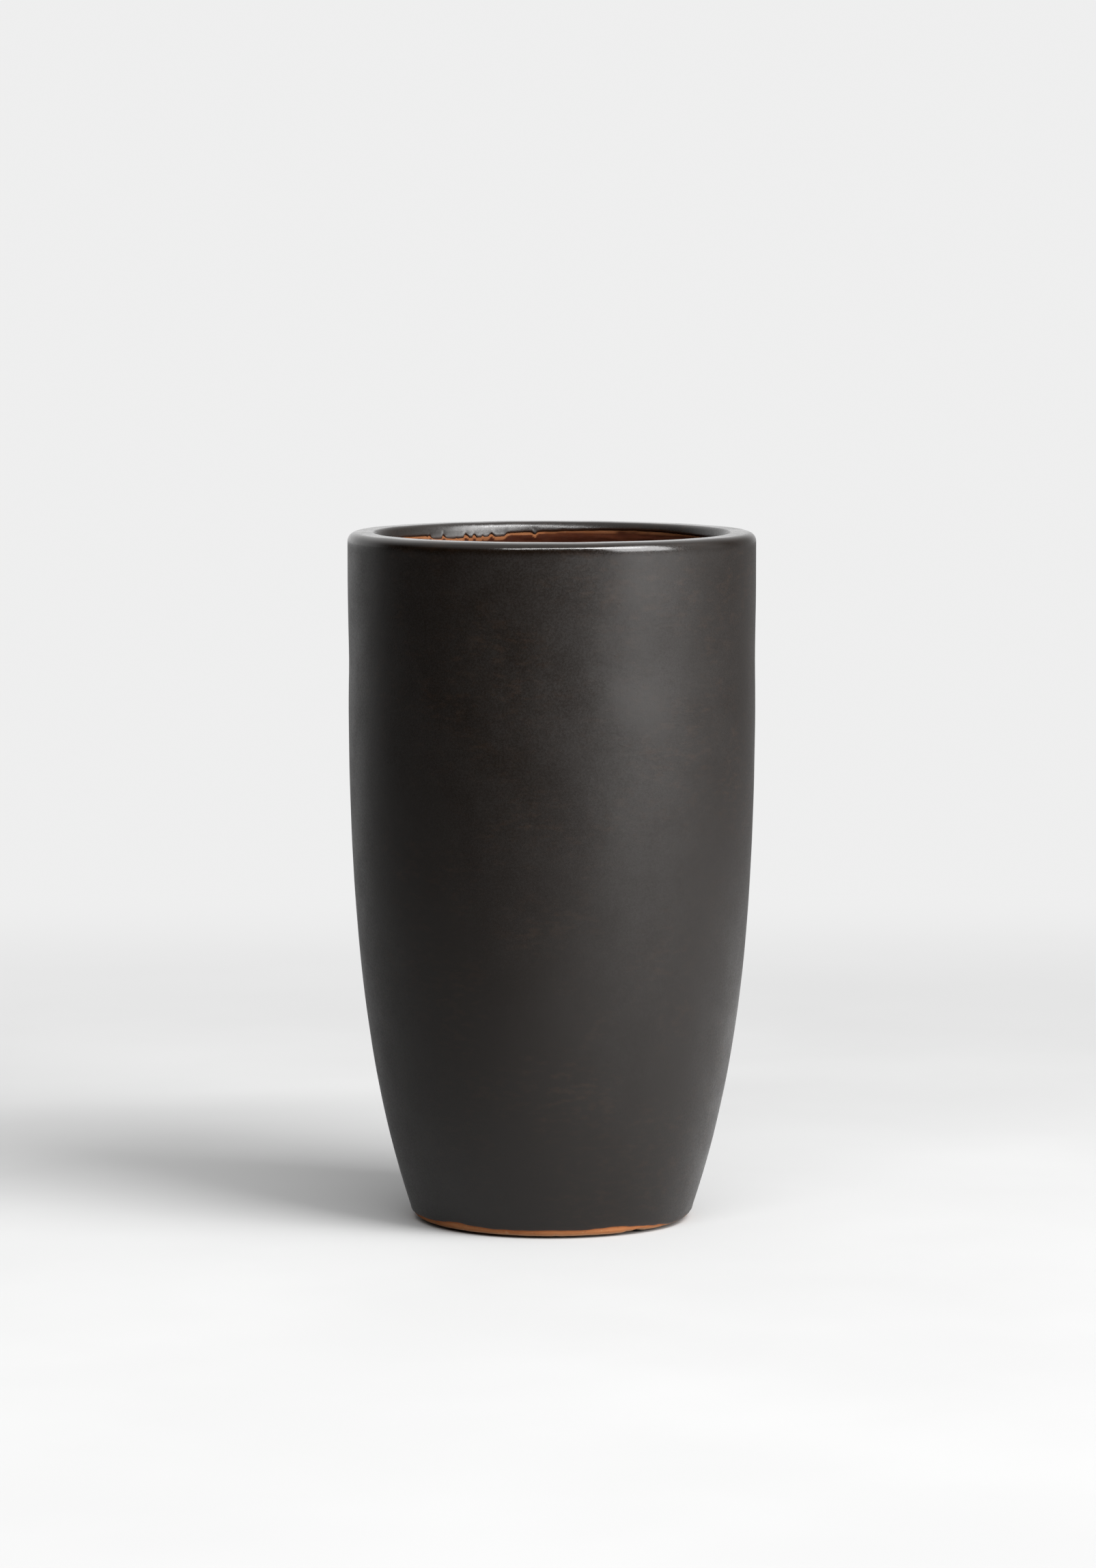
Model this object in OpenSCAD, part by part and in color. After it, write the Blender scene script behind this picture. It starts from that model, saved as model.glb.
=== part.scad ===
// Tall glazed terracotta planter. Millimetres, +Z up, origin on the floor under the middle of the pot.
// Its front faces -Y. Fired clay (base slab, wall and rolled rim), one coat of glaze, four stick-on
// foot pads and a rubber plug that lifts out of the drain hole.

/* [Body] */
// Overall height, from the floor under the pads to the crest of the rim
height = 508; // [440:1:580]
// Widest outside diameter, over the glaze
body_d = 300; // [290:1:330]
// Diameter that the side narrows to at the floor
foot_d = 203; // [195:1:215]
// Height at which the side stops widening
taper_h = 500; // [480:5:520]
// How sharply the side turns in towards the foot
taper_power = 3.6; // [3:0.1:4.2]
// Depth of the faint hollow below the rim
waist_dip = 0.6; // [0:0.1:1.5]
// How far the middle of that hollow lies below the crest
waist_drop = 89; // [70:1:120]

/* [Clay] */
// Thickness of the wall
wall_t = 14; // [11:0.5:18]
// Thickness of the base slab
base_t = 16; // [12:0.5:20]
// Radius of the base slab
base_r = 88; // [85:0.5:89]
// Outer corner radius of the foot
foot_corner_r = 6; // [3:0.5:6.5]
// Inner radius of the foot ring
foot_ring_r = 70; // [60:1:74]
// How far the slab's underside is set up above the foot ring
base_recess = 3; // [2:0.5:6]

/* [Rim] */
// Radius of the rounded outer edge
rim_outer_r = 6.5; // [5:0.5:9]
// Radius at which the crest starts to turn down inside
crest_in_r = 132; // [131:0.5:134]
// Inside radius of the glazed lip
lip_r = 127.6; // [127.4:0.1:129]
// Height of the rounded inner edge
lip_drop = 8; // [6:0.5:8.5]
// Radius of the mouth, on the bare clay below the lip
mouth_r = 127; // [124:0.5:127]
// Height of the bare clay land that forms the mouth
mouth_land = 15; // [8:1:20]
// Height over which the underside of the rim runs back to the wall
rim_return = 14; // [10:1:20]

/* [Glaze] */
// Thickness of the glaze
glaze_t = 0.8; // [0.6:0.1:1.2]
// Height of the glaze's lower edge above the floor
glaze_foot_z = 7.5; // [6.5:0.5:12]
// How far the glaze runs down inside the mouth
glaze_in_depth = 9; // [8.5:0.5:14]
// Height of the wiped ledge below the glaze inside
ledge_h = 2.5; // [1:0.5:4]

/* [Drain] */
// Diameter of the drain hole
hole_d = 24; // [18:1:30]
// Radial clearance of the plug's ribs in the hole
plug_clear = 0.1; // [0.05:0.05:0.3]
// Diameter of the plug's flange
flange_d = 36; // [34:1:44]
// Thickness of the plug's flange
flange_t = 3; // [2:0.5:4]
// Number of sealing ribs on the shank
rib_count = 3; // [2:1:4]
// Width of the pull tab
tab_w = 15; // [12:1:18]
// Height of the pull tab above the flange
tab_h = 13; // [10:1:18]
// Thickness of the pull tab
tab_t = 4; // [3:0.5:5]

/* [Pads] */
// Diameter of a foot pad
pad_d = 20; // [16:1:21]
// Thickness of a foot pad
pad_t = 1.5; // [1:0.5:3]

/* [Hidden] */
$fn = 96;
side_steps = 24;
rim_steps = 4;
arc_steps = 10;
fillet_steps = 5;
waist_spread = 27;
fillet_h = 5;
rib_depth = 1.1;
shank_lead = 2;
shank_below = 2;
flange_gap = 0.1;
flange_round = 1;

foot_z = pad_t;
slab_z0 = foot_z + base_recess;
slab_z1 = slab_z0 + base_t;
rim_side_z = height - rim_outer_r;
glaze_in_z = height - glaze_in_depth;
land_top_z = glaze_in_z - ledge_h;
land_low_z = land_top_z - mouth_land;
seam_z = land_low_z - rim_return;
hole_r = hole_d / 2;
pad_ring_r = (foot_ring_r + clay_r(foot_z) - foot_corner_r) / 2;
front_right = -45;

// Radius of the finished side at height z.
function side_r(z) =
    body_d / 2
    - (body_d - foot_d) / 2 * pow(max(0, 1 - z / taper_h), taper_power)
    - waist_dip * exp(-pow((z - height + waist_drop) / waist_spread, 2));

// Radius of the clay under the glaze, and of the wall's inside.
function clay_r(z) = side_r(z) - glaze_t;
function inner_r(z) = clay_r(z) - wall_t;

// Angle of the side from upright at height z, in degrees.
function lean(z) = atan(clay_r(z + 0.5) - clay_r(z - 0.5));

// n heights from z0 up towards z1, which is left out.
function levels(z0, z1, n) = [for (i = [0:n - 1]) z0 + (z1 - z0) * i / n];

// n + 1 points on an ellipse about c with half axes a and b, from angle a0 to a1.
function arc(c, a, b, a0, a1, n) =
    [for (i = [0:n]) let (t = a0 + (a1 - a0) * i / n) c + [a * cos(t), b * sin(t)]];

function reversed(p) = [for (i = [len(p) - 1:-1:0]) p[i]];

// Heights at which the clay and the glaze share their outline, below and above the rim's seam.
wall_levels = levels(glaze_foot_z, seam_z, side_steps);
rim_levels = levels(seam_z, rim_side_z, rim_steps);

// Rounded foot corner, from the flat underside up to where the side takes over.
corner_lean = lean(foot_z + foot_corner_r);
corner_top_z = foot_z + foot_corner_r * (1 - sin(corner_lean));
corner_mid = [
    clay_r(corner_top_z) - foot_corner_r * cos(corner_lean),
    foot_z + foot_corner_r,
];
function foot_corner() = arc(corner_mid, foot_corner_r, foot_corner_r, -90, -corner_lean, arc_steps);

// Rim outline from the outside over the crest to the lip. skin is 0 on the glaze and glaze_t on the clay.
function rim_outline(skin) = concat(
    arc([side_r(rim_side_z) - rim_outer_r, rim_side_z],
        rim_outer_r - skin, rim_outer_r - skin, 0, 90, arc_steps),
    arc([crest_in_r, height - lip_drop],
        crest_in_r - lip_r - skin, lip_drop - skin, 90, 180, arc_steps)
);

// Underside of the rim, a smooth S from the mouth's land back to the wall.
function rim_underside() =
    [for (i = [1:arc_steps])
        let (t = i / arc_steps)
        [mouth_r + (inner_r(seam_z) - mouth_r) * (1 - cos(180 * t)) / 2, land_low_z - rim_return * t]];

module base_slab() {
    color("peru")
        difference() {
            translate([0, 0, slab_z0])
                cylinder(r = base_r, h = base_t);
            translate([0, 0, slab_z0 - 1])
                cylinder(r = hole_r, h = base_t + 2);
        }
}

module wall() {
    fillet_top = slab_z1 + fillet_h;
    fillet_w = inner_r(fillet_top) - base_r;
    inside_levels = levels(fillet_top, seam_z, side_steps);
    color("sienna")
        rotate_extrude()
            polygon(concat(
                foot_corner(),
                [for (z = wall_levels) [clay_r(z), z]],
                [[clay_r(seam_z), seam_z], [inner_r(seam_z), seam_z]],
                reversed([for (z = inside_levels) if (z > fillet_top) [inner_r(z), z]]),
                arc([base_r, fillet_top], fillet_w, fillet_h, 0, -90, fillet_steps),
                [[base_r, slab_z0], [foot_ring_r, slab_z0], [foot_ring_r, foot_z]]
            ));
}

module rim_roll() {
    color("chocolate")
        rotate_extrude()
            polygon(concat(
                [for (z = rim_levels) [clay_r(z), z]],
                rim_outline(glaze_t),
                [[lip_r + glaze_t, glaze_in_z], [mouth_r, land_top_z], [mouth_r, land_low_z]],
                rim_underside()
            ));
}

module glaze_coat() {
    coated = concat(wall_levels, rim_levels);
    color("dimgray")
        rotate_extrude()
            polygon(concat(
                [for (z = coated) [side_r(z), z]],
                rim_outline(0),
                [[lip_r, glaze_in_z], [lip_r + glaze_t, glaze_in_z]],
                reversed(rim_outline(glaze_t)),
                reversed([for (z = coated) [clay_r(z), z]])
            ));
}

// Ribbed shank, from the underside of the flange down to the narrow leading end.
function shank_outline(top, low) =
    let (rib_r = hole_r - plug_clear, pitch = (top - low - shank_lead) / rib_count)
    concat(
        [[rib_r - rib_depth, top]],
        [for (i = [0:rib_count - 1]) for (p = [
            [rib_r - rib_depth, top - pitch * (i + 0.3)],
            [rib_r, top - pitch * (i + 0.5)],
            [rib_r, top - pitch * (i + 0.65)],
            [rib_r - rib_depth, top - pitch * (i + 0.95)],
        ]) p],
        [[rib_r - 2 * rib_depth, low], [0, low]]
    );

module drain_plug() {
    flange_z = slab_z1 + flange_gap;
    flange_top = flange_z + flange_t;
    low = slab_z0 - shank_below;
    flange_r = flange_d / 2;
    color("black") {
        rotate_extrude()
            polygon(concat(
                [[0, flange_top], [flange_r - flange_round, flange_top]],
                [[flange_r, flange_top - flange_round], [flange_r, flange_z]],
                shank_outline(flange_z, low)
            ));
        translate([0, 0, flange_top - 1])
            rotate([90, 0, 0])
                linear_extrude(height = tab_t, center = true) {
                    translate([-tab_w / 2, 0])
                        square([tab_w, tab_h + 1 - tab_w / 2]);
                    translate([0, tab_h + 1 - tab_w / 2])
                        circle(d = tab_w);
                }
    }
}

module foot_pad(turn) {
    color("darkslategray")
        rotate([0, 0, turn])
            translate([pad_ring_r, 0, 0])
                cylinder(d = pad_d, h = pad_t);
}

base_slab();
wall();
rim_roll();
glaze_coat();
drain_plug();
foot_pad(front_right);  // foot_pad_front_right
foot_pad(front_right + 90);  // foot_pad_back_right
foot_pad(front_right + 180);  // foot_pad_back_left
foot_pad(front_right + 270);  // foot_pad_front_left
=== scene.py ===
"""Looks of the tall glazed terracotta pot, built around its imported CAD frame.

Everything is in metres, in the frame of the CAD model: +Z up, the front of the pot faces -Y.
A turn is an angle round the pot from its front, growing to the right (+X).
"""

import math

import bpy
import numpy as np
from mathutils import Matrix, Vector


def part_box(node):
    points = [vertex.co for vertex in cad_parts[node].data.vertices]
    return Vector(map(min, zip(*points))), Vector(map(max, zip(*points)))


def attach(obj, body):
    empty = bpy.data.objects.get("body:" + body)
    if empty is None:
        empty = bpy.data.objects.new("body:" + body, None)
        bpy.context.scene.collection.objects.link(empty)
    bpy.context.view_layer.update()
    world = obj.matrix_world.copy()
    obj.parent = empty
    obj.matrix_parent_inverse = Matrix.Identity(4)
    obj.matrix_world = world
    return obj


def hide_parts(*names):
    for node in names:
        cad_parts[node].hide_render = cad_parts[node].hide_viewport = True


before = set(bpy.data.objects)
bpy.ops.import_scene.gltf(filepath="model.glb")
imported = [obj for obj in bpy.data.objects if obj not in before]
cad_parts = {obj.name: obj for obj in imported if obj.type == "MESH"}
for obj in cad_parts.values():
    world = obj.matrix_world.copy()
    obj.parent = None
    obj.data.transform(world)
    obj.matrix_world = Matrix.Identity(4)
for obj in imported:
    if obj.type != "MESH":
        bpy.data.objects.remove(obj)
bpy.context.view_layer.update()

MM = 0.001
FULL_TURN = 2 * math.pi
GRAIN = 0.1 * MM

# ---------------------------------------------------------------- sizes from the frame


def node_radii(name):
    """Smallest and largest radius of a CAD node's corners."""
    radii = [math.hypot(v.co.x, v.co.y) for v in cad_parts[name].data.vertices]
    return min(radii), max(radii)


body_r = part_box("glaze_coat")[1].x
top_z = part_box("glaze_coat")[1].z
glaze_t = top_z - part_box("rim_roll")[1].z
foot_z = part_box("wall")[0].z
seam_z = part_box("wall")[1].z
slab_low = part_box("base_slab")[0].z
slab_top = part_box("base_slab")[1].z
plug_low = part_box("drain_plug")[0].z
plug_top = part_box("drain_plug")[1].z
foot_ring_r = node_radii("wall")[0]
mouth_r = node_radii("rim_roll")[0]
hole_r, slab_r = node_radii("base_slab")
flange_r = node_radii("drain_plug")[1]

# The outline of the side and of the rim, as the CAD model has them.
TAPER = 48.5 * MM
TAPER_H = 500 * MM
TAPER_POWER = 3.6
WAIST_DIP = 0.6 * MM
WAIST_Z = top_z - 89 * MM
WAIST_SPREAD = 27 * MM
WALL_T = 14 * MM
CORNER_R = 6 * MM
RIM_R = 6.5 * MM
CREST_R = 132 * MM
LIP_R = 127.6 * MM
LIP_DROP = 8 * MM
LEDGE_TOP = top_z - 9 * MM
LAND_TOP = LEDGE_TOP - 2.5 * MM
LAND_LOW = LAND_TOP - 15 * MM
FILLET_H = 5 * MM

# ---------------------------------------------------------------- outlines


def side_r(z):
    """Radius of the finished side at height z."""
    taper = np.clip(1 - z / TAPER_H, 0, None) ** TAPER_POWER
    waist = np.exp(-(((z - WAIST_Z) / WAIST_SPREAD) ** 2))
    return body_r - TAPER * taper - WAIST_DIP * waist


def clay_r(z):
    return side_r(z) - glaze_t


def inner_r(z):
    return clay_r(z) - WALL_T


def arc(centre, across, up, start, end, count=24):
    """Points on an ellipse with these half axes, from one angle to another in degrees."""
    angle = np.radians(np.linspace(start, end, count))
    return np.stack([centre[0] + across * np.cos(angle), centre[1] + up * np.sin(angle)], axis=1)


def upright(radius, low, high, count=120):
    """Points (radius(z), z) from one height to another."""
    z = np.linspace(low, high, count)
    return np.stack([radius(z), z], axis=1)


def lean(z):
    """Angle of the clay's side from upright at height z, in degrees."""
    step = 0.5 * MM
    return math.degrees(math.atan((clay_r(z + step) - clay_r(z - step)) / (2 * step)))


def foot_corner():
    """The rounded outer corner of the foot, from its flat underside to the side."""
    tilt = lean(foot_z + CORNER_R)
    top = foot_z + CORNER_R * (1 - math.sin(math.radians(tilt)))
    middle = (clay_r(top) - CORNER_R * math.cos(math.radians(tilt)), foot_z + CORNER_R)
    return arc(middle, CORNER_R, CORNER_R, -90, -tilt)


def rim_outline():
    """The clay's rim from the outside over the crest to the lip."""
    rim_side = top_z - RIM_R
    outer = (side_r(rim_side) - RIM_R, rim_side)
    inner = (CREST_R, top_z - LIP_DROP)
    return np.concatenate([
        arc(outer, RIM_R - glaze_t, RIM_R - glaze_t, 0, 90),
        arc(inner, CREST_R - LIP_R - glaze_t, LIP_DROP - glaze_t, 90, 180),
    ])


def lip_and_land():
    """The wiped ledge below the glaze and the bare land that forms the mouth."""
    return np.array([[LIP_R + glaze_t, LEDGE_TOP], [mouth_r, LAND_TOP], [mouth_r, LAND_LOW]])


def rim_underside():
    """The smooth S from the land back to the wall."""
    t = np.linspace(0, 1, 24)[1:]
    back = (inner_r(seam_z) - mouth_r) * (1 - np.cos(math.pi * t)) / 2
    return np.stack([mouth_r + back, LAND_LOW + (seam_z - LAND_LOW) * t], axis=1)


def along(points):
    """Distance along an outline to each of its points."""
    return np.concatenate([[0], np.cumsum(np.hypot(*np.diff(points, axis=0).T))])


def blurred(values, spread, step):
    """Closed run of values blurred by a bell curve of that spread."""
    frequency = np.fft.rfftfreq(len(values), step)
    bell = np.exp(-0.5 * (FULL_TURN * frequency * spread) ** 2)
    return np.fft.irfft(np.fft.rfft(values) * bell, len(values))


def section(parts, steps, softness):
    """Rows of a closed section: (radius, height, outward radius, outward height) at each station.

    Each part of the outline has stations its own step apart, and corners are rounded by softness.
    """
    path = np.concatenate(parts)
    loop = np.vstack([path, path[:1]])
    lengths = along(loop)
    marks = lengths[np.concatenate([[0], np.cumsum([len(part) for part in parts])])]
    stations = np.concatenate([
        np.linspace(low, high, max(2, round((high - low) / step)), endpoint=False)
        for low, high, step in zip(marks, marks[1:], steps)
    ])
    count = int(lengths[-1] / GRAIN)
    dense = np.arange(count) * lengths[-1] / count
    soft = [blurred(np.interp(dense, lengths, loop[:, i]), softness, GRAIN) for i in (0, 1)]
    slope = [np.gradient(values) for values in soft]
    size = np.hypot(*slope)
    curves = [soft[0], soft[1], slope[1] / size, -slope[0] / size]
    return [np.interp(stations, dense, curve, period=lengths[-1])[:, None] for curve in curves]


# ---------------------------------------------------------------- relief


def bell(values, middle, spread):
    return np.exp(-(((values - middle) / spread) ** 2))


def fade(values, start, end):
    """0 up to start, 1 from end, and smooth between them. start may be above end."""
    t = np.clip((values - start) / (end - start), 0, 1)
    return t * t * (3 - 2 * t)


def waves(turn, height, seed, count, most_turns, pitch):
    """Smooth random relief of about unit size, which closes round the pot.

    most_turns is the most waves round it, and pitch the shortest wave up it.
    """
    rng = np.random.default_rng(seed)
    total = np.zeros(np.broadcast(turn, height).shape)
    for _ in range(count):
        around = rng.integers(0, most_turns + 1)
        rise = rng.uniform(-1, 1) * FULL_TURN / pitch
        total += np.cos(around * turn + rise * height + rng.uniform(0, FULL_TURN))
    return total * math.sqrt(2 / count)


def edge_waves(turn, seed, slowest, fastest, count):
    """Random waviness of a line that runs round the pot, of about unit size."""
    rng = np.random.default_rng(seed)
    total = np.zeros_like(turn)
    for _ in range(count):
        around = rng.integers(slowest, fastest + 1)
        total += np.cos(around * turn + rng.uniform(0, FULL_TURN))
    return total * math.sqrt(2 / count)


def wander(turn, z):
    """How far the thrown clay strays from a true round, outwards."""
    drift = 0.12 * MM * waves(turn, z, 11, 10, 3, 260 * MM)
    rings = 0.012 * MM * waves(0 * turn, z, 12, 6, 0, 24 * MM)
    return drift + rings


def from_degrees(turn, degrees):
    """Signed angle from a turn given in degrees, in degrees, between -180 and 180."""
    return (np.degrees(turn) - degrees + 180) % 360 - 180


def glaze_foot(turn):
    """Height of the glaze's wavy lower edge."""
    front = from_degrees(turn, 0)
    height = 6.1 + 2.0 * bell(front, -43, 7) + 0.6 * bell(front, 1, 11) + 1.7 * bell(front, 26, 9.5)
    height = height - 2.6 * bell(front, 61, 14) + 0.5 * bell(front, -33, 6)
    height = height + 0.12 * edge_waves(turn, 21, 18, 60, 12)
    behind = fade(np.abs(front), 75, 100)
    return MM * (height + behind * 0.7 * edge_waves(turn, 22, 3, 14, 8))


def lip_drips(turn):
    """Where the glaze inside the mouth hangs in short blocky drips: 1 on a drip, 0 between them."""
    back = -from_degrees(turn, 180)
    blocks = fade(edge_waves(turn, 31, 40, 150, 30), -0.9, -0.2)
    stretch = fade(back, -48, -44) * fade(back, -13, -16)
    return np.maximum(blocks * stretch, bell(back, -5.8, 0.9) ** 2)


def glaze_lip(turn):
    """Height of the glaze's ragged edge inside the mouth."""
    back = -from_degrees(turn, 180)
    height = 500 + 2.1 * bell(back, 29, 28) - 0.9 * bell(back, -33, 22)
    height = height - 2.4 * lip_drips(turn) + 0.06 * edge_waves(turn, 33, 20, 60, 12)
    front = fade(np.abs(back), 75, 105)
    return MM * (height + front * 0.5 * edge_waves(turn, 32, 3, 40, 14))


# ---------------------------------------------------------------- meshes

# Columns of each piece's mesh round the pot.
WALL_COLUMNS = 360
RIM_COLUMNS = 640
SLAB_COLUMNS = 400
GLAZE_COLUMNS = 640


def turns(count):
    return np.arange(count)[None, :] * FULL_TURN / count


def linked(name, data):
    """A new object in the scene for a mesh, a lamp or a camera."""
    new = bpy.data.objects.new(name, data)
    bpy.context.scene.collection.objects.link(new)
    return new


def mesh_object(name, points, faces):
    mesh = bpy.data.meshes.new(name)
    mesh.from_pydata(points, [], faces)
    mesh.shade_smooth()
    return linked(name, mesh)


def ring_mesh(name, radius, height, turn):
    """A skin closed round the axis and round its own section, from [row, turn] grids."""
    rows, count = radius.shape
    points = np.stack([radius * np.sin(turn), -radius * np.cos(turn), height], axis=-1)
    row = np.arange(rows)[:, None]
    column = np.arange(count)[None, :]
    above = (row + 1) % rows
    right = (column + 1) % count
    corners = [row * count + column, row * count + right, above * count + right, above * count + column]
    faces = np.stack(corners, axis=-1)
    return mesh_object(name, points.reshape(-1, 3).tolist(), faces.reshape(-1, 4).tolist())


def add_layer(piece, name, values):
    """Stores a number per vertex, which the materials read by name. Without one they read 0."""
    layer = piece.data.attributes.new(name, "FLOAT", "POINT")
    layer.data.foreach_set("value", np.ascontiguousarray(values, dtype=np.float32).ravel())


def finish_piece(piece, body, slot, look, *nodes):
    piece.data.materials.append(look)
    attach(piece, body)
    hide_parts(*nodes)


# ---------------------------------------------------------------- clay

RING_DEPTH = 0.28 * MM
RING_PITCH = 10.5 * MM
SPIRAL_DEPTH = 0.32 * MM
SPIRAL_PITCH = 8.5 * MM
TRIM_DEPTH = 0.12 * MM
TRIM_PITCH = 5 * MM
FINE_DEPTH = 0.03 * MM
CHIP_TURN = 38.5
SMALL_CHIP_TURN = 33.5
CHIP_DEPTH = 1.5 * MM
NIBBLE_DEPTH = 0.35 * MM


def clay_relief(turn, z, seed):
    """The fine unevenness of hand-worked clay."""
    return FINE_DEPTH * waves(turn, z, seed, 24, 70, 6 * MM)


def throwing_rings(turn, z, out_r):
    """The spiral that the potter's fingers leave inside, between the floor and the rim."""
    inside = fade(-out_r, 0.5, 0.9) * fade(z, 24 * MM, 40 * MM) * fade(z, seam_z, seam_z - 12 * MM)
    spiral = np.cos(FULL_TURN * z / RING_PITCH + turn + 1.2 * waves(turn, z, 42, 6, 2, 120 * MM))
    return inside * (RING_DEPTH * spiral + 0.35 * MM * waves(turn, z, 43, 10, 4, 45 * MM))


def foot_wear(turn, r, z):
    """How worn the foot's outer edge is, and how much clay is gone there, in nibbles and two chips."""
    worn = fade(z, 4.5 * MM, 1.5 * MM) * fade(r, foot_ring_r + 16 * MM, foot_ring_r + 24 * MM)
    chips = bell(from_degrees(turn, CHIP_TURN), 0, 3.2)
    chips = chips + 0.6 * bell(from_degrees(turn, SMALL_CHIP_TURN), 0, 1.4)
    nibbles = np.clip(edge_waves(turn, 45, 20, 90, 20) - 0.9, 0, None)
    return worn, worn * (CHIP_DEPTH * chips + NIBBLE_DEPTH * nibbles)


def make_wall(look):
    """The side from the foot ring to the rim's seam, with the throwing rings inside."""
    corner = foot_corner()
    fillet_top = slab_top + FILLET_H
    fillet_w = float(inner_r(fillet_top)) - slab_r
    parts = [
        np.array([[foot_ring_r, foot_z]]),
        corner,
        upright(clay_r, corner[-1, 1] + 1 * MM, 14 * MM),
        upright(clay_r, 14.1 * MM, seam_z),
        upright(inner_r, seam_z, fillet_top + 1 * MM),
        arc((slab_r, fillet_top), fillet_w, FILLET_H, 0, -90),
        np.array([[slab_r, slab_low], [foot_ring_r, slab_low]]),
    ]
    steps = [1.6 * MM, 0.6 * MM, 0.7 * MM, 11 * MM, 2.4 * MM, 1.2 * MM, 5 * MM]
    r, z, out_r, out_z = section(parts, steps, 0.5 * MM)
    turn = turns(WALL_COLUMNS)
    relief = throwing_rings(turn, z, out_r) + clay_relief(turn, z, 44)
    worn, loss = foot_wear(turn, r, z)
    radius = r + wander(turn, z) * (1 - worn) + relief * out_r - loss * 0.8
    height = z + relief * out_z + loss * 0.75
    piece = ring_mesh("wall_clay", radius, height, turn)
    rubbed = fade(z, 3.6 * MM, 2.2 * MM) * fade(r, foot_ring_r + 10 * MM, foot_ring_r + 20 * MM)
    # The rubbed foot edge is paler from wear. The chips are painted paler still, partly for wear and partly
    # as a painted highlight on their broken faces.
    add_layer(piece, "worn", rubbed + 2 * loss / MM)
    add_layer(piece, "halo", fade(z, glaze_foot(turn) - 2.0 * MM, glaze_foot(turn)))
    # Painted shade: the inside of the wall above the floor is marked to be painted dark brown, for the
    # shade in the pot's depth.
    add_layer(piece, "inside_shade", fade(-out_r, 0.2, 0.5) * fade(z, slab_low, slab_top) + 0 * turn)
    finish_piece(piece, "pot", "terracotta", look, "wall")


def make_rim(look):
    """The rolled rim: hidden under the glaze outside, bare below the lip inside."""
    rim_side = top_z - RIM_R
    parts = [
        upright(clay_r, seam_z, rim_side - 0.5 * MM, 20),
        rim_outline(),
        lip_and_land(),
        rim_underside(),
    ]
    r, z, out_r, out_z = section(parts, [4 * MM, 1.8 * MM, 0.75 * MM, 0.9 * MM], 0.45 * MM)
    turn = turns(RIM_COLUMNS)
    inside = fade(-out_r, 0.1, 0.6) * fade(z, LEDGE_TOP + 1 * MM, LEDGE_TOP - 1 * MM)
    relief = 0.09 * MM * waves(turn, z, 51, 20, 50, 4 * MM) * inside
    relief = relief + 0.22 * MM * inside * waves(turn, z, 52, 8, 6, 30 * MM)
    radius = r + wander(turn, z) + relief * out_r
    height = z + relief * out_z
    piece = ring_mesh("rim_clay", radius, height, turn)
    # Painted shade inside the mouth: the rim's inward faces are painted dark brown, 30 % less so in a
    # narrow band just below the glaze's edge.
    bare = 1.3 + 1.0 * bell(-from_degrees(turn, 180), -28, 24) + 0.2 * edge_waves(turn, 53, 10, 60, 16)
    bare_low = glaze_lip(turn) - bare * MM
    less_shaded_band = fade(z, bare_low - 0.3 * MM, bare_low + 0.2 * MM)
    add_layer(piece, "inside_shade", fade(-out_r, -0.2, 0.3) * (1 - 0.3 * less_shaded_band))
    finish_piece(piece, "pot", "terracotta", look, "rim_roll")


def make_slab(look):
    """The floor with its drain hole: a finger spiral on top and the rings of a trimming tool below."""
    parts = [
        np.array([[hole_r, slab_low]]),
        np.array([[slab_r, slab_low]]),
        np.array([[slab_r, slab_top]]),
        np.array([[hole_r, slab_top]]),
    ]
    r, z, out_r, out_z = section(parts, [1.5 * MM, 3 * MM, 1.1 * MM, 1.5 * MM], 0.45 * MM)
    turn = turns(SLAB_COLUMNS)
    top = fade(r, flange_r + 3 * MM, flange_r + 14 * MM) * fade(r, slab_r, slab_r - 5 * MM)
    top = top * fade(out_z, 0.5, 0.9)
    under = fade(-out_z, 0.5, 0.9) * fade(r, hole_r + 1 * MM, hole_r + 5 * MM)
    spiral = np.cos(FULL_TURN * r / SPIRAL_PITCH + turn + 0.8 * waves(turn, r, 61, 6, 3, 60 * MM))
    relief = top * (SPIRAL_DEPTH * spiral + 0.2 * MM * waves(turn, r, 62, 10, 5, 25 * MM))
    trimmed = np.cos(FULL_TURN * r / TRIM_PITCH + 0.4 * waves(turn, r, 63, 6, 6, 30 * MM))
    relief = relief + TRIM_DEPTH * under * trimmed + (top + under) * clay_relief(turn, r, 64)
    piece = ring_mesh("base_clay", r + 0 * turn, z + relief * out_z, turn)
    # Painted shade: the top of the floor slab, deep inside the pot, is painted dark brown.
    add_layer(piece, "inside_shade", fade(z, slab_low + 4 * MM, slab_top - 2 * MM) + 0 * turn)
    finish_piece(piece, "pot", "terracotta", look, "base_slab")


# ---------------------------------------------------------------- glaze

BEAD_W = 1.1 * MM
DRIP_W = 1.5 * MM
BEAD_H = 0.25 * MM
SINK = 0.2 * MM
BED_LOW = 2.2 * MM
WAVY_BELOW = 16 * MM
LIP_LENGTH = 14 * MM
# Distances from the glaze's edge to the rows of its bead, in millimetres.
BEAD_ROWS = (0, 0.06, 0.18, 0.35, 0.6, 0.9, 1.3, 1.8, 2.5, 3.5)


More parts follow.
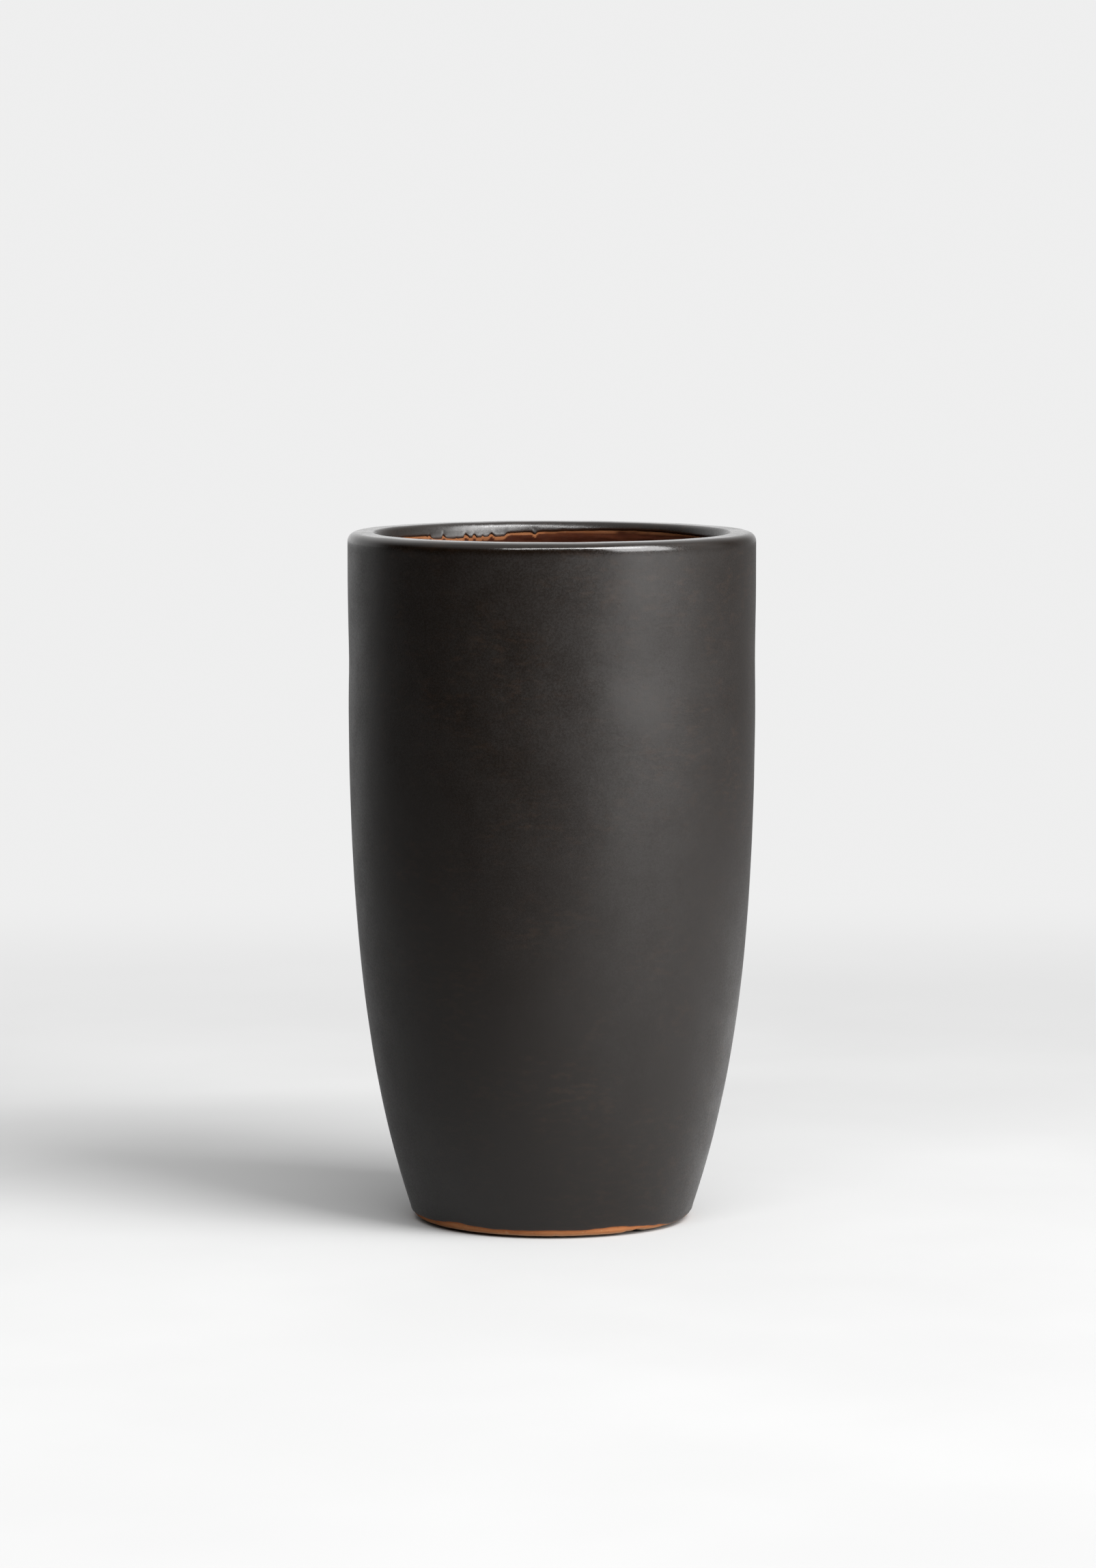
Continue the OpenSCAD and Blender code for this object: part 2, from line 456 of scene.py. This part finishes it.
def glaze_bed():
    """The clay's outline under the glaze: distance, radius, height and outward direction."""
    corner = foot_corner()
    low = corner[corner[:, 1] > BED_LOW]
    rim_side = top_z - RIM_R
    side = upright(clay_r, low[-1, 1] + 0.8 * MM, rim_side - 0.3 * MM, 900)
    path = np.concatenate([low, side, rim_outline(), lip_and_land()[:2]])
    lengths = along(path)
    dense = np.arange(0, lengths[-1], GRAIN)
    points = [np.interp(dense, lengths, path[:, i]) for i in (0, 1)]
    reach = 12
    kernel = bell(np.arange(-reach, reach + 1) * GRAIN, 0, 0.5 * MM)
    kernel /= kernel.sum()
    padded = [np.pad(values, reach, "reflect", reflect_type="odd") for values in points]
    soft = [np.convolve(values, kernel, "valid") for values in padded]
    slope = [np.gradient(values) for values in soft]
    size = np.hypot(*slope)
    return dense, soft[0], soft[1], slope[1] / size, -slope[0] / size


def glaze_stations(bed, turn):
    """Distances along the bed of the outer rows and the inner rows, for each turn."""
    dense, _, z, _, _ = bed
    crest = int(np.argmax(z))
    start = np.interp(glaze_foot(turn), z[:crest], dense[:crest])
    end = np.interp(-glaze_lip(turn), -z[crest:], dense[crest:])
    side_mark = float(np.interp(WAVY_BELOW, z[:crest], dense[:crest]))
    rim_mark = float(np.interp(top_z - RIM_R - 1 * MM, z[:crest], dense[:crest]))
    lip_mark = dense[-1] - LIP_LENGTH
    edge = np.array(BEAD_ROWS)[:, None] * MM
    low = start + edge
    high = end - edge[::-1]
    grow = np.linspace(0, 1, 7)[1:-1, None]
    low_join = low[-1] + (side_mark - low[-1]) * grow
    high_join = lip_mark + (high[0] - lip_mark) * grow
    side = np.linspace(side_mark, rim_mark, 52)[:, None] + 0 * turn
    rim = np.linspace(rim_mark, lip_mark, 24)[1:, None] + 0 * turn
    outer = np.concatenate([low, low_join, side, rim, high_join, high])
    inner = start + (end - start) * np.linspace(0, 1, 48)[1:-1, None]
    return start, end, outer, inner[::-1]


def make_glaze(look):
    """The coat of glaze: a thin skin with a rounded, slightly swollen bead along both edges."""
    turn = turns(GLAZE_COLUMNS)
    bed = glaze_bed()
    start, end, outer, inner = glaze_stations(bed, turn)
    edge = np.minimum(outer - start, end - outer)
    drips = lip_drips(turn) * (end - outer < outer - start)
    bead_w = BEAD_W + DRIP_W * drips
    rounding = np.sqrt(np.clip(1 - (1 - np.clip(edge / bead_w, 0, 1)) ** 2, 0, 1))
    flow = glaze_t + 0.05 * MM * waves(turn, outer, 71, 16, 24, 40 * MM)
    flow = flow + BEAD_H * (1 + 0.8 * drips) * bell(edge, 1.5 * MM, 1.6 * MM)
    lift = -SINK + (flow + SINK) * rounding
    distance = np.concatenate([outer, inner])
    offset = np.concatenate([lift, np.full(inner.shape, -SINK)])
    dense, bed_r, bed_z, out_r, out_z = bed
    r, z, nr, nz = [np.interp(distance, dense, values) for values in (bed_r, bed_z, out_r, out_z)]
    radius = r + nr * offset + wander(turn, z)
    piece = ring_mesh("glaze_skin", radius, z + nz * offset, turn)
    thin = np.concatenate([bell(edge, 0, 1.3 * MM), np.zeros(inner.shape)])
    add_layer(piece, "thin", thin)
    finish_piece(piece, "pot", "glaze", look, "glaze_coat")


# ---------------------------------------------------------------- plug and pads

# The first six are as in the CAD model, and the rest are the looks' own.
PLUG_CLEAR = 0.1 * MM
RIB_DEPTH = 1.1 * MM
RIB_COUNT = 3
SHANK_LEAD = 2 * MM
FLANGE_GAP = 0.1 * MM
FLANGE_T = 3 * MM
FLANGE_ROUND = 1.5 * MM
DISH_DEPTH = 0.9 * MM
TAB_W = 14.6 * MM
TAB_T = 3.6 * MM
PAD_ROUND = 0.5 * MM


def lathe(name, outline, count):
    """A solid turned about Z from an outline that starts and ends on the axis."""
    turn = turns(count)[0]
    rings = outline[1:-1]
    points = [[0, 0, outline[0][1]]]
    for r, z in rings:
        points.extend([r * math.sin(t), -r * math.cos(t), z] for t in turn)
    points.append([0, 0, outline[-1][1]])
    last = len(points) - 1
    faces = []
    for i in range(count):
        j = (i + 1) % count
        faces.append([0, 1 + j, 1 + i])
        faces.append([last, last - count + i, last - count + j])
        for k in range(len(rings) - 1):
            low, high = 1 + k * count, 1 + (k + 1) * count
            faces.append([low + i, low + j, high + j, high + i])
    return mesh_object(name, points, faces)


def plug_outline():
    """Ribbed shank, flange and a shallow moulded dish on top of it, from the bottom up."""
    flange_low = slab_top + FLANGE_GAP
    flange_top = flange_low + FLANGE_T
    rib_r = hole_r - PLUG_CLEAR
    core_r = rib_r - RIB_DEPTH
    pitch = (flange_low - plug_low - SHANK_LEAD) / RIB_COUNT
    edge = (flange_r - FLANGE_ROUND, flange_low + FLANGE_ROUND)
    points = [[0, plug_low + 1.5 * MM], [5 * MM, plug_low + 1.3 * MM], [6.5 * MM, plug_low + 0.1 * MM]]
    points += [[core_r - 1.6 * MM, plug_low], [core_r - 0.6 * MM, plug_low + 0.6 * MM]]
    for k in range(RIB_COUNT):
        low = plug_low + SHANK_LEAD + pitch * k
        points += [[core_r, low + 0.05 * pitch], [core_r + 0.5 * MM, low + 0.2 * pitch]]
        points += [[rib_r - 0.15 * MM, low + 0.35 * pitch], [rib_r, low + 0.45 * pitch]]
        points += [[rib_r - 0.3 * MM, low + 0.55 * pitch], [core_r, low + 0.7 * pitch]]
    points += [[core_r, flange_low + 0.1 * MM], [flange_r - 0.5 * MM, flange_low]]
    points += arc(edge, FLANGE_ROUND, FLANGE_ROUND, -60, 80, 8).tolist()
    points += [[flange_r - 3 * MM, flange_top - 0.2 * MM], [flange_r - 4 * MM, flange_top - 0.8 * MM]]
    points += [[9 * MM, flange_top - DISH_DEPTH], [0, flange_top - DISH_DEPTH]]
    return points


def plug_tab():
    """The pull tab: an upright tongue with a round head and rounded edges."""
    half_w = TAB_W / 2
    root = slab_top + FLANGE_T / 2
    head = arc((0, plug_top - 0.2 * MM - half_w), half_w, half_w, 0, 180, 25).tolist()
    outline = [[half_w, root], *head, [-half_w, root]]
    points = [[x, y, z] for y in (-TAB_T / 2, TAB_T / 2) for x, z in outline]
    count = len(outline)
    faces = [list(range(count)), list(range(2 * count - 1, count - 1, -1))]
    faces += [[i, i + count, (i + 1) % count + count, (i + 1) % count] for i in range(count)]
    tab = mesh_object("tab", points, faces)
    round_off = tab.modifiers.new("round", "BEVEL")
    round_off.width = 1.2 * MM
    round_off.segments = 3
    round_off.limit_method = "ANGLE"
    return tab


def merged(name, parts, voxel, smoothing):
    """One skin round all the parts, with its creases softened."""
    depsgraph = bpy.context.evaluated_depsgraph_get()
    points, faces = [], []
    for part in parts:
        mesh = part.evaluated_get(depsgraph).to_mesh()
        faces.extend([[len(points) + i for i in face.vertices] for face in mesh.polygons])
        points.extend([v.co[:] for v in mesh.vertices])
        bpy.data.objects.remove(part)
    rough = mesh_object(name + "_rough", points, faces)
    remesh = rough.modifiers.new("skin", "REMESH")
    remesh.mode = "VOXEL"
    remesh.voxel_size = voxel
    smooth = rough.modifiers.new("smooth", "SMOOTH")
    smooth.factor = 0.5
    smooth.iterations = smoothing
    depsgraph = bpy.context.evaluated_depsgraph_get()
    final = bpy.data.meshes.new_from_object(rough.evaluated_get(depsgraph))
    bpy.data.objects.remove(rough)
    final.name = name
    final.shade_smooth()
    return linked(name, final)


def make_plug(look):
    body = lathe("plug_body", plug_outline(), 96)
    piece = merged("plug_rubber_skin", [body, plug_tab()], 0.45 * MM, 4)
    finish_piece(piece, "plug", "plug_rubber", look, "drain_plug")


def make_pad(node, look):
    """A stick-on foam disc, squeezed so that its edge bulges a little."""
    low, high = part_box(node)
    middle = (low + high) / 2
    pad_r = (high.x - low.x) / 2
    pad_t = high.z - low.z
    edge = arc((pad_r - PAD_ROUND, pad_t / 2), PAD_ROUND, pad_t / 2, -85, 85, 9)
    rim = [[r - 0.1 * MM * abs(z / pad_t - 0.5), z] for r, z in edge]
    outline = [[0, 0.12 * MM], [pad_r - 3 * MM, 0.1 * MM], [pad_r - 2 * MM, 0], *rim, [0, pad_t]]
    piece = lathe(node + "_disc", outline, 72)
    piece.data.transform(Matrix.Translation((middle.x, middle.y, low.z)))
    finish_piece(piece, "pot", "pad_rubber", look, node)


# ---------------------------------------------------------------- node helpers


def feed(tree, node, inputs):
    """Fills a node's inputs, each from a value or from another node's socket."""
    for key, value in inputs.items():
        if isinstance(value, bpy.types.NodeSocket):
            tree.links.new(value, node.inputs[key])
        else:
            node.inputs[key].default_value = value


def add(tree, kind, inputs=(), **settings):
    new = tree.nodes.new(kind)
    for key, value in settings.items():
        setattr(new, key, value)
    feed(tree, new, dict(inputs))
    return new


def sums(tree, operation, *values):
    inputs = dict(enumerate(values))
    return add(tree, "ShaderNodeMath", inputs, operation=operation).outputs[0]


def noise(tree, where, scale, detail, roughness):
    inputs = {"Vector": where, "Scale": scale, "Detail": detail, "Roughness": roughness}
    return add(tree, "ShaderNodeTexNoise", inputs).outputs["Fac"]


def ranged(tree, value, low, high, to_low=0.0, to_high=1.0):
    """Maps low..high smoothly to to_low..to_high, and holds it there outside."""
    inputs = {"Value": value, "From Min": low, "From Max": high, "To Min": to_low, "To Max": to_high}
    return add(tree, "ShaderNodeMapRange", inputs, interpolation_type="SMOOTHSTEP").outputs[0]


def mixed(tree, amount, first, second):
    """Colour between first and second."""
    inputs = {0: amount, 6: first, 7: second}
    return add(tree, "ShaderNodeMix", inputs, data_type="RGBA").outputs[2]


def between(tree, amount, first, second):
    """Number between first and second."""
    return add(tree, "ShaderNodeMix", {0: amount, 2: first, 3: second}).outputs[0]


def layer(tree, name):
    return add(tree, "ShaderNodeAttribute", attribute_name=name).outputs["Fac"]


def object_place(tree):
    return add(tree, "ShaderNodeTexCoord").outputs["Object"]


def scaled(tree, where, x, y, z):
    return add(tree, "ShaderNodeMapping", {"Vector": where, "Scale": (x, y, z)}).outputs["Vector"]


def parts_of(tree, vector):
    """The outputs X, Y and Z of a vector."""
    return add(tree, "ShaderNodeSeparateXYZ", {"Vector": vector}).outputs


def length_of(tree, vector):
    return add(tree, "ShaderNodeVectorMath", {0: vector}, operation="LENGTH").outputs["Value"]


def drawn_out(tree, amount):
    """Object coordinates in which detail is this many times as long round the pot as up it."""
    return scaled(tree, object_place(tree), 1, 1, amount)


def seen_by_camera(tree):
    return add(tree, "ShaderNodeLightPath").outputs["Is Camera Ray"]


def bumped(tree, height, distance, strength=1.0, under=None):
    inputs = {"Height": height, "Distance": distance, "Strength": strength}
    if under is not None:
        inputs["Normal"] = under
    return add(tree, "ShaderNodeBump", inputs).outputs["Normal"]


def new_look(name):
    look = bpy.data.materials.new(name)
    look.use_nodes = True
    tree = look.node_tree
    return look, tree, tree.nodes["Principled BSDF"]


def height_above_floor(tree):
    return parts_of(tree, object_place(tree))["Z"]


def distance_to_axis(tree):
    return length_of(tree, scaled(tree, object_place(tree), 1, 1, 0))


# ---------------------------------------------------------------- materials

GLAZE_DARK = (0.0036, 0.0019, 0.0009, 1)
GLAZE_BROWN = (0.0100, 0.0050, 0.0024, 1)
GLAZE_THIN = (0.020, 0.006, 0.002, 1)
GLAZE_SPECK = (0.03, 0.026, 0.023, 1)
SIDE_ROUGH = 0.42
CREST_ROUGH = 0.14
LIP_ROUGHER = 0.15


def glaze_roughness(tree, even):
    """Satin on the side, glossy on the rim's crest, and duller again on the lip inside."""
    z = height_above_floor(tree)
    rough = ranged(tree, z, top_z - 11 * MM, top_z - 3 * MM, SIDE_ROUGH, CREST_ROUGH)
    inner = ranged(tree, distance_to_axis(tree), CREST_R - 2 * MM, CREST_R, LIP_ROUGHER, 0)
    lip = ranged(tree, z, top_z - 16 * MM, top_z - 14 * MM)
    rough = sums(tree, "MULTIPLY_ADD", inner, lip, rough)
    uneven = ranged(tree, noise(tree, even, 30, 3, 0.6), 0.3, 0.7, -0.035, 0.035)
    grainy = ranged(tree, noise(tree, even, 700, 2, 0.6), 0.3, 0.7, -0.05, 0.05)
    return sums(tree, "ADD", sums(tree, "ADD", rough, uneven), grainy)


def glaze_look():
    look, tree, shader = new_look("satin_glaze")
    even = object_place(tree)
    flowing = drawn_out(tree, 2.6)
    clouds = ranged(tree, noise(tree, even, 14, 4, 0.55), 0.35, 0.7)
    streaks = ranged(tree, noise(tree, flowing, 95, 4, 0.6), 0.45, 0.75)
    mottle = sums(tree, "MULTIPLY", clouds, streaks)
    colour = mixed(tree, mottle, GLAZE_DARK, GLAZE_BROWN)
    specks = ranged(tree, noise(tree, even, 900, 2, 0.5), 0.72, 0.78)
    colour = mixed(tree, sums(tree, "MULTIPLY", specks, 0.35), colour, GLAZE_SPECK)
    colour = mixed(tree, sums(tree, "MULTIPLY", layer(tree, "thin"), 0.75), colour, GLAZE_THIN)
    ripple = bumped(tree, noise(tree, even, 120, 2, 0.5), 0.12 * MM, 0.5)
    grain = bumped(tree, noise(tree, even, 1100, 3, 0.6), 0.03 * MM, 0.8, ripple)
    rough = glaze_roughness(tree, even)
    feed(tree, shader, {"Base Color": colour, "Roughness": rough, "IOR": 1.44, "Normal": grain})
    return look


CLAY_RED = (0.28, 0.102, 0.038, 1)
CLAY_ORANGE = (0.365, 0.157, 0.066, 1)
CLAY_PALE = (0.43, 0.26, 0.16, 1)
CLAY_HALO = (0.26, 0.080, 0.031, 1)
CLAY_GROG = (0.13, 0.053, 0.024, 1)
# Painted shade: the dark browns painted on the inside of the pot to stand for the shade in its depth,
# lighter in streaks.
CLAY_INSIDE_SHADE = (0.017, 0.0030, 0.0004, 1)
CLAY_INSIDE_SHADE_LIGHTER = (0.028, 0.0065, 0.0014, 1)


def clay_colour(tree, even, thrown):
    """Orange clay with grog, redder next to the glaze, paler where rubbed and chipped (the chips partly a
    painted highlight), and dark brown inside as painted shade.
    """
    clouds = ranged(tree, noise(tree, even, 22, 4, 0.55), 0.3, 0.7)
    streaks = ranged(tree, noise(tree, thrown, 60, 5, 0.6), 0.3, 0.7)
    tone = sums(tree, "ADD", sums(tree, "MULTIPLY", clouds, 0.45), sums(tree, "MULTIPLY", streaks, 0.55))
    colour = mixed(tree, tone, CLAY_RED, CLAY_ORANGE)
    grog = ranged(tree, noise(tree, even, 520, 2, 0.5), 0.66, 0.74)
    colour = mixed(tree, sums(tree, "MULTIPLY", grog, 0.5), colour, CLAY_GROG)
    pale = ranged(tree, noise(tree, even, 380, 2, 0.5), 0.64, 0.74)
    colour = mixed(tree, sums(tree, "MULTIPLY", pale, 0.35), colour, CLAY_PALE)
    colour = mixed(tree, sums(tree, "MULTIPLY", layer(tree, "halo"), 0.6), colour, CLAY_HALO)
    # Paler where the foot is rubbed, and on the chips, where the paleness is partly a painted highlight on
    # the broken faces.
    colour = mixed(tree, sums(tree, "MULTIPLY", layer(tree, "worn"), 0.7), colour, CLAY_PALE)
    # Painted shade: where this vertex layer is set, inside the pot, the clay is painted dark brown to stand
    # for the shade in its depth.
    inside_shade_colour = mixed(tree, ranged(tree, noise(tree, thrown, 45, 5, 0.6), 0.35, 0.75), CLAY_INSIDE_SHADE, CLAY_INSIDE_SHADE_LIGHTER)
    return mixed(tree, layer(tree, "inside_shade"), colour, inside_shade_colour)


def clay_look():
    look, tree, shader = new_look("fired_terracotta")
    even = object_place(tree)
    thrown = drawn_out(tree, 7)
    colour = clay_colour(tree, even, thrown)
    rough = ranged(tree, noise(tree, even, 240, 3, 0.6), 0.3, 0.7, 0.82, 0.97)
    drag = bumped(tree, noise(tree, thrown, 110, 4, 0.6), 0.35 * MM, 0.6)
    pores = bumped(tree, noise(tree, even, 900, 3, 0.65), 0.09 * MM, 0.8, drag)
    feed(tree, shader, {"Base Color": colour, "Roughness": rough, "Normal": pores})
    feed(tree, shader, {"IOR": 1.45, "Specular IOR Level": 0.1})
    return look


RUBBER = (0.012, 0.012, 0.0125, 1)
RUBBER_DUST = (0.075, 0.068, 0.06, 1)


def rubber_look():
    look, tree, shader = new_look("plug_rubber_look")
    even = object_place(tree)
    bloom = ranged(tree, noise(tree, even, 160, 5, 0.65), 0.42, 0.72)
    facing = parts_of(tree, add(tree, "ShaderNodeNewGeometry").outputs["Normal"])
    settled = ranged(tree, facing["Z"], 0.2, 1.0, 0.25, 1.0)
    dust = sums(tree, "MULTIPLY", sums(tree, "MULTIPLY", bloom, settled), 0.75)
    colour = mixed(tree, dust, RUBBER, RUBBER_DUST)
    rough = ranged(tree, dust, 0, 0.7, 0.62, 0.92)
    grain = bumped(tree, noise(tree, even, 1400, 2, 0.5), 0.03 * MM, 0.6)
    feed(tree, shader, {"Base Color": colour, "Roughness": rough, "Normal": grain})
    feed(tree, shader, {"IOR": 1.45, "Specular IOR Level": 0.3})
    return look


FOAM_DARK = (0.010, 0.0095, 0.009, 1)
FOAM_LIGHT = (0.035, 0.032, 0.03, 1)


def foam_look():
    look, tree, shader = new_look("foot_pad_foam")
    even = object_place(tree)
    cells = add(tree, "ShaderNodeTexVoronoi", {"Vector": even, "Scale": 1500.0}).outputs["Distance"]
    tone = ranged(tree, noise(tree, even, 300, 3, 0.6), 0.35, 0.7)
    colour = mixed(tree, tone, FOAM_DARK, FOAM_LIGHT)
    rough = ranged(tree, cells, 0.0, 0.8, 0.75, 0.95)
    dimples = bumped(tree, cells, 0.12 * MM, 0.7)
    feed(tree, shader, {"Base Color": colour, "Roughness": rough, "Normal": dimples})
    return look


# ---------------------------------------------------------------- studio

BACKDROP = 0.86
FLOOR_SIZE = 18.0
FLOOR_MELTS = (0.6, 2.0)
KEY_TURN = 52
KEY_RISE = 35
KEY_DISTANCE = 4.4
KEY_SIZE = (2.8, 4.4)
KEY_POWER = 530
TOP_TURN = 15
TOP_RISE = 52
TOP_DISTANCE = 3.0
TOP_SIZE = (3.6, 0.3)
TOP_POWER = 110
OPENING_R = 88 * MM
UNDER_DEPTH = 0.8
UNDER_SIZE = 0.4
UNDER_POWER = 7
ROOM_DARK = 0.03
ROOM_CEILING = 1.0
ROOM_BACK_LEFT = 0.9
ROOM_BACK_RIGHT = 0.3
ROOM_RIGHT = 1.1
# Lens and sensor in millimetres, place in metres, and tilt in degrees from straight down.
CAMERA_LENS = 134.6
CAMERA_SENSOR = 36
CAMERA_PLACE = (-0.0029, -4.300, 0.757)
CAMERA_TILT = 84.22


def distant_floor(tree, where):
    """How bright the far floor looks from the pot: dark to the left, pale behind it and to the right."""
    bearing = add(tree, "ShaderNodeVectorMath", {0: where}, operation="NORMALIZE").outputs["Vector"]
    split = parts_of(tree, bearing)
    leftwards = sums(tree, "MINIMUM", split["X"], 0)
    behind = ranged(tree, sums(tree, "MULTIPLY_ADD", leftwards, 0.5, split["Y"]), -0.05, 0.35)
    front_tone = ranged(tree, split["X"], -0.5, 0.8, 0.05, 1.1)
    back_tone = ranged(tree, split["X"], -0.5, 0.8, 0.5, 0.35)
    return between(tree, behind, front_tone, back_tone)


def floor_tone(tree, where, seen):
    """How pale the floor is. Its light on the pot is weaker from the left, as with a dark flag there."""
    place = parts_of(tree, where)
    mottle = ranged(tree, noise(tree, where, 3, 3, 0.5), 0.3, 0.7, 0.98, 1.02)
    tone = sums(tree, "MULTIPLY", ranged(tree, place["Y"], -1.0, 0.5, 0.29, 0.345), mottle)
    tone = sums(tree, "MULTIPLY", ranged(tree, place["X"], -0.5, 0.7, 1.03, 0.88), tone)
    flagged = ranged(tree, place["X"], -0.45, 0.35, 0.5, 1.3)
    return sums(tree, "MULTIPLY", tone, between(tree, seen, flagged, 1.0))


def floor_openness(tree, where):
    """1 where the floor is clear: to all that comes from below, and to the lamp under the foot."""
    below = add(tree, "ShaderNodeNewGeometry").outputs["Backfacing"]
    opening = ranged(tree, length_of(tree, where), OPENING_R - 5 * MM, OPENING_R, 1, 0)
    shadow = add(tree, "ShaderNodeLightPath").outputs["Is Shadow Ray"]
    return sums(tree, "MAXIMUM", below, sums(tree, "MULTIPLY", shadow, opening))


def studio_floor():
    """A plain pale floor, which melts into the backdrop far from the pot and isn't seen from below."""
    bpy.ops.mesh.primitive_plane_add(size=FLOOR_SIZE)
    floor = bpy.context.object
    floor.name = "studio_floor"
    look, tree, shader = new_look("pale_floor")
    where = object_place(tree)
    seen = seen_by_camera(tree)
    far = ranged(tree, length_of(tree, scaled(tree, where, 0.6, 1, 1)), *FLOOR_MELTS)
    tone = floor_tone(tree, where, seen)
    colour = add(tree, "ShaderNodeCombineColor", {"Red": tone, "Green": tone, "Blue": tone}).outputs[0]
    feed(tree, shader, {"Base Color": colour, "Roughness": 0.9, "Specular IOR Level": 0.2})
    glow = between(tree, seen, distant_floor(tree, where), BACKDROP)
    distant = add(tree, "ShaderNodeEmission", {"Color": (1, 1, 1, 1), "Strength": glow}).outputs[0]
    blend = add(tree, "ShaderNodeMixShader", {0: far, 1: shader.outputs[0], 2: distant}).outputs[0]
    clear = add(tree, "ShaderNodeBsdfTransparent").outputs[0]
    inputs = {0: floor_openness(tree, where), 1: blend, 2: clear}
    surface = add(tree, "ShaderNodeMixShader", inputs).outputs[0]
    feed(tree, tree.nodes["Material Output"], {"Surface": surface})
    floor.data.materials.append(look)


def studio_world():
    """An even pale backdrop for the camera, and a room for the pot.

    The room has a soft ceiling, a pale back wall and a bright right side, and is dark at the left.
    """
    world = bpy.data.worlds.new("studio")
    world.use_nodes = True
    bpy.context.scene.world = world
    tree = world.node_tree
    split = parts_of(tree, add(tree, "ShaderNodeTexCoord").outputs["Generated"])
    ceiling = ranged(tree, split["Z"], 0.3, 1.0, 0.0, ROOM_CEILING)
    back_tone = ranged(tree, split["X"], -0.1, 0.6, ROOM_BACK_LEFT, ROOM_BACK_RIGHT)
    back = sums(tree, "MULTIPLY", ranged(tree, split["Y"], 0.1, 0.8), back_tone)
    right_end = ranged(tree, split["Y"], 0.1, 0.6, ROOM_RIGHT, 0.0)
    right = sums(tree, "MULTIPLY", ranged(tree, split["X"], 0.35, 0.9), right_end)
    walls = sums(tree, "ADD", back, right)
    light = sums(tree, "ADD", sums(tree, "ADD", ceiling, walls), ROOM_DARK)
    strength = between(tree, seen_by_camera(tree), light, BACKDROP)
    feed(tree, tree.nodes["Background"], {"Color": (1, 1, 1, 1), "Strength": strength})


def area_lamp(name, shape, power):
    """A new area light, which the camera doesn't see."""
    data = bpy.data.lights.new(name, "AREA")
    data.shape = shape
    data.energy = power
    lamp = linked(name, data)
    lamp.visible_camera = False
    return lamp


def soft_box(name, turn, rise, distance, size, power):
    """A rectangular area light that faces the pot, at a turn and a rise in degrees."""
    lamp = area_lamp(name, "RECTANGLE", power)
    lamp.data.size, lamp.data.size_y = size
    turn, rise = math.radians(turn), math.radians(rise)
    away = Vector((math.sin(turn) * math.cos(rise), -math.cos(turn) * math.cos(rise), math.sin(rise)))
    lamp.location = Vector((0, 0, top_z / 2)) + distance * away
    lamp.rotation_euler = away.to_track_quat("Z", "Y").to_euler()


def under_light():
    """A small lamp below the floor, which shines up on the pot's underside through the floor's opening."""
    lamp = area_lamp("under", "DISK", UNDER_POWER)
    lamp.data.size = UNDER_SIZE
    lamp.location = (0, 0, -UNDER_DEPTH)
    lamp.rotation_euler = (math.pi, 0, 0)


def camera():
    data = bpy.data.cameras.new("camera")
    data.lens = CAMERA_LENS
    data.sensor_width = CAMERA_SENSOR
    eye = linked("camera", data)
    eye.location = CAMERA_PLACE
    eye.rotation_euler = (math.radians(CAMERA_TILT), 0, 0)
    bpy.context.scene.camera = eye


# ---------------------------------------------------------------- scene

camera()
studio_world()
studio_floor()
soft_box("key", KEY_TURN, KEY_RISE, KEY_DISTANCE, KEY_SIZE, KEY_POWER)
soft_box("top", TOP_TURN, TOP_RISE, TOP_DISTANCE, TOP_SIZE, TOP_POWER)
under_light()
bpy.context.scene.view_settings.view_transform = "Standard"

clay = clay_look()
make_wall(clay)
make_rim(clay)
make_slab(clay)
make_glaze(glaze_look())
make_plug(rubber_look())
foam = foam_look()
for pad in sorted(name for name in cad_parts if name.startswith("foot_pad")):
    make_pad(pad, foam)
